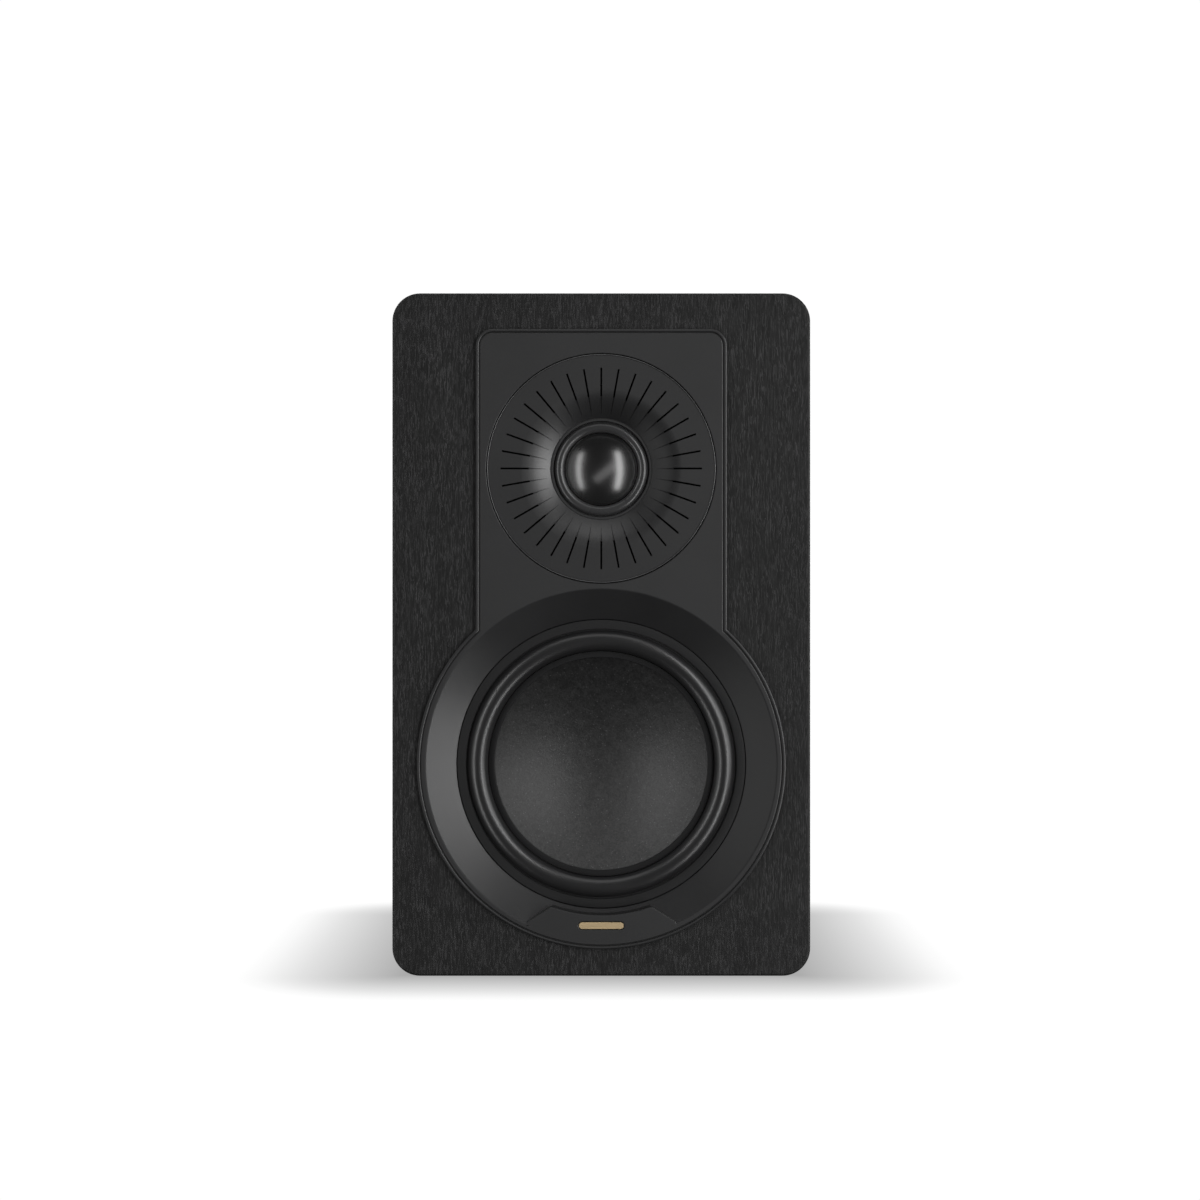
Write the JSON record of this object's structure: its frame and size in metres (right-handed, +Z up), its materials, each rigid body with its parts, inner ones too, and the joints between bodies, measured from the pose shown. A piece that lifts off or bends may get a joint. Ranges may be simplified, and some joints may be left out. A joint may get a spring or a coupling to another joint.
{
  "type": "bookshelf speaker",
  "caption": "Compact two-way bookshelf speaker: vinyl-wrapped box, keyhole front trim, cone woofer, dome tweeter in a slotted waveguide, rear port and binding posts.",
  "frame": {"origin": "middle of the cabinet's base, half way between its front and rear faces", "axes": "+X to the viewer's right when facing the front, +Y towards the back, +Z up"},
  "size_m": [0.15, 0.1899, 0.245],
  "materials": {
    "cabinet_vinyl": "matte",
    "felt": "matte",
    "port_plastic": "satin",
    "trim_plastic": "satin",
    "badge_metal": "satin",
    "basket_metal": "satin",
    "gasket_foam": "matte",
    "surround_rubber": "satin",
    "cone_paper": "matte",
    "coil_former": "matte",
    "copper": "satin",
    "spider_cloth": "matte",
    "plated_steel": "satin",
    "ferrite": "matte",
    "phenolic_board": "matte",
    "screw_black": "satin",
    "waveguide_plastic": "satin",
    "tweeter_plastic": "satin",
    "tweeter_surround_film": "satin",
    "dome_film": "satin",
    "cup_plastic": "satin",
    "gold_plating": "polished",
    "knob_red_plastic": "satin",
    "knob_black_plastic": "satin",
    "capacitor_film": "gloss",
    "resistor_ceramic": "matte",
    "wire_insulation": "satin"
  },
  "bodies": {
    "cabinet": {"side_panel_left": "cabinet_vinyl", "side_panel_right": "cabinet_vinyl", "top_panel": "cabinet_vinyl", "bottom_panel": "cabinet_vinyl", "front_baffle": "cabinet_vinyl", "rear_panel": "cabinet_vinyl", "damping_pad_left": "felt", "damping_pad_right": "felt", "port_tube": "port_plastic", "front_trim": "trim_plastic", "badge_bar": "badge_metal", "woofer_basket": "basket_metal", "woofer_gasket_ring": "gasket_foam", "woofer_surround": "surround_rubber", "woofer_inductor": "copper", "tweeter_inductor": "copper", "woofer_lead_plus": "copper", "woofer_lead_minus": "copper", "woofer_spider": "spider_cloth", "woofer_top_plate": "plated_steel", "woofer_back_plate": "plated_steel", "tweeter_top_plate": "plated_steel", "tweeter_back_plate": "plated_steel", "post_nut_red": "plated_steel", "post_nut_black": "plated_steel", "woofer_magnet": "ferrite", "tweeter_magnet": "ferrite", "woofer_terminal_strip": "phenolic_board", "crossover_board": "phenolic_board", "woofer_screw_1": "screw_black", "woofer_screw_2": "screw_black", "woofer_screw_3": "screw_black", "woofer_screw_4": "screw_black", "tweeter_screw_1": "screw_black", "tweeter_screw_2": "screw_black", "tweeter_screw_3": "screw_black", "cup_screw_1": "screw_black", "cup_screw_2": "screw_black", "cup_screw_3": "screw_black", "cup_screw_4": "screw_black", "tweeter_waveguide": "waveguide_plastic", "tweeter_frame": "tweeter_plastic", "tweeter_rear_cup": "tweeter_plastic", "tweeter_surround": "tweeter_surround_film", "terminal_cup": "cup_plastic", "terminal_post_red": "gold_plating", "terminal_post_black": "gold_plating", "tweeter_capacitor": "capacitor_film", "tweeter_resistor": "resistor_ceramic", "woofer_wire": "wire_insulation", "tweeter_wire": "wire_insulation"},
    "woofer_cone_assembly": {"woofer_cone": "cone_paper", "woofer_former": "coil_former", "woofer_winding": "copper"},
    "tweeter_dome_assembly": {"tweeter_dome": "dome_film", "tweeter_voice_coil": "copper"},
    "clamp_red": {"clamp_washer_red": "gold_plating"},
    "clamp_black": {"clamp_washer_black": "gold_plating"},
    "knob_red": {"terminal_knob_red": "knob_red_plastic"},
    "knob_black": {"terminal_knob_black": "knob_black_plastic"}
  },
  "joints": [
    {"name": "woofer_cone_slide", "type": "slide", "parent": "cabinet", "child": "woofer_cone_assembly", "axis": [0, -1, 0], "range_m": [-0.003, 0.003], "stiffness_N_per_m": 1000, "deforming": ["woofer_surround", "woofer_spider", "woofer_lead_plus", "woofer_lead_minus"]},
    {"name": "tweeter_dome_slide", "type": "slide", "parent": "cabinet", "child": "tweeter_dome_assembly", "axis": [0, -1, 0], "range_m": [-0.0003, 0.0003], "stiffness_N_per_m": 400, "deforming": ["tweeter_surround"]},
    {"name": "clamp_red_slide", "type": "slide", "parent": "cabinet", "child": "clamp_red", "axis": [0, 1, 0], "range_m": [0, 0.0035]},
    {"name": "knob_red_turn", "type": "hinge", "parent": "clamp_red", "child": "knob_red", "pos_m": [-0.015, 0.091, 0.062], "axis": [0, 1, 0], "range_deg": [0, 1801]},
    {"name": "clamp_black_slide", "type": "slide", "parent": "cabinet", "child": "clamp_black", "axis": [0, 1, 0], "range_m": [0, 0.0035]},
    {"name": "knob_black_turn", "type": "hinge", "parent": "clamp_black", "child": "knob_black", "pos_m": [0.015, 0.091, 0.062], "axis": [0, 1, 0], "range_deg": [0, 1801]}
  ],
  "couplings": [
    {"joint": "knob_red_turn", "follows": "clamp_red_slide", "rad_per_m": 8976},
    {"joint": "knob_black_turn", "follows": "clamp_black_slide", "rad_per_m": 8976}
  ]
}
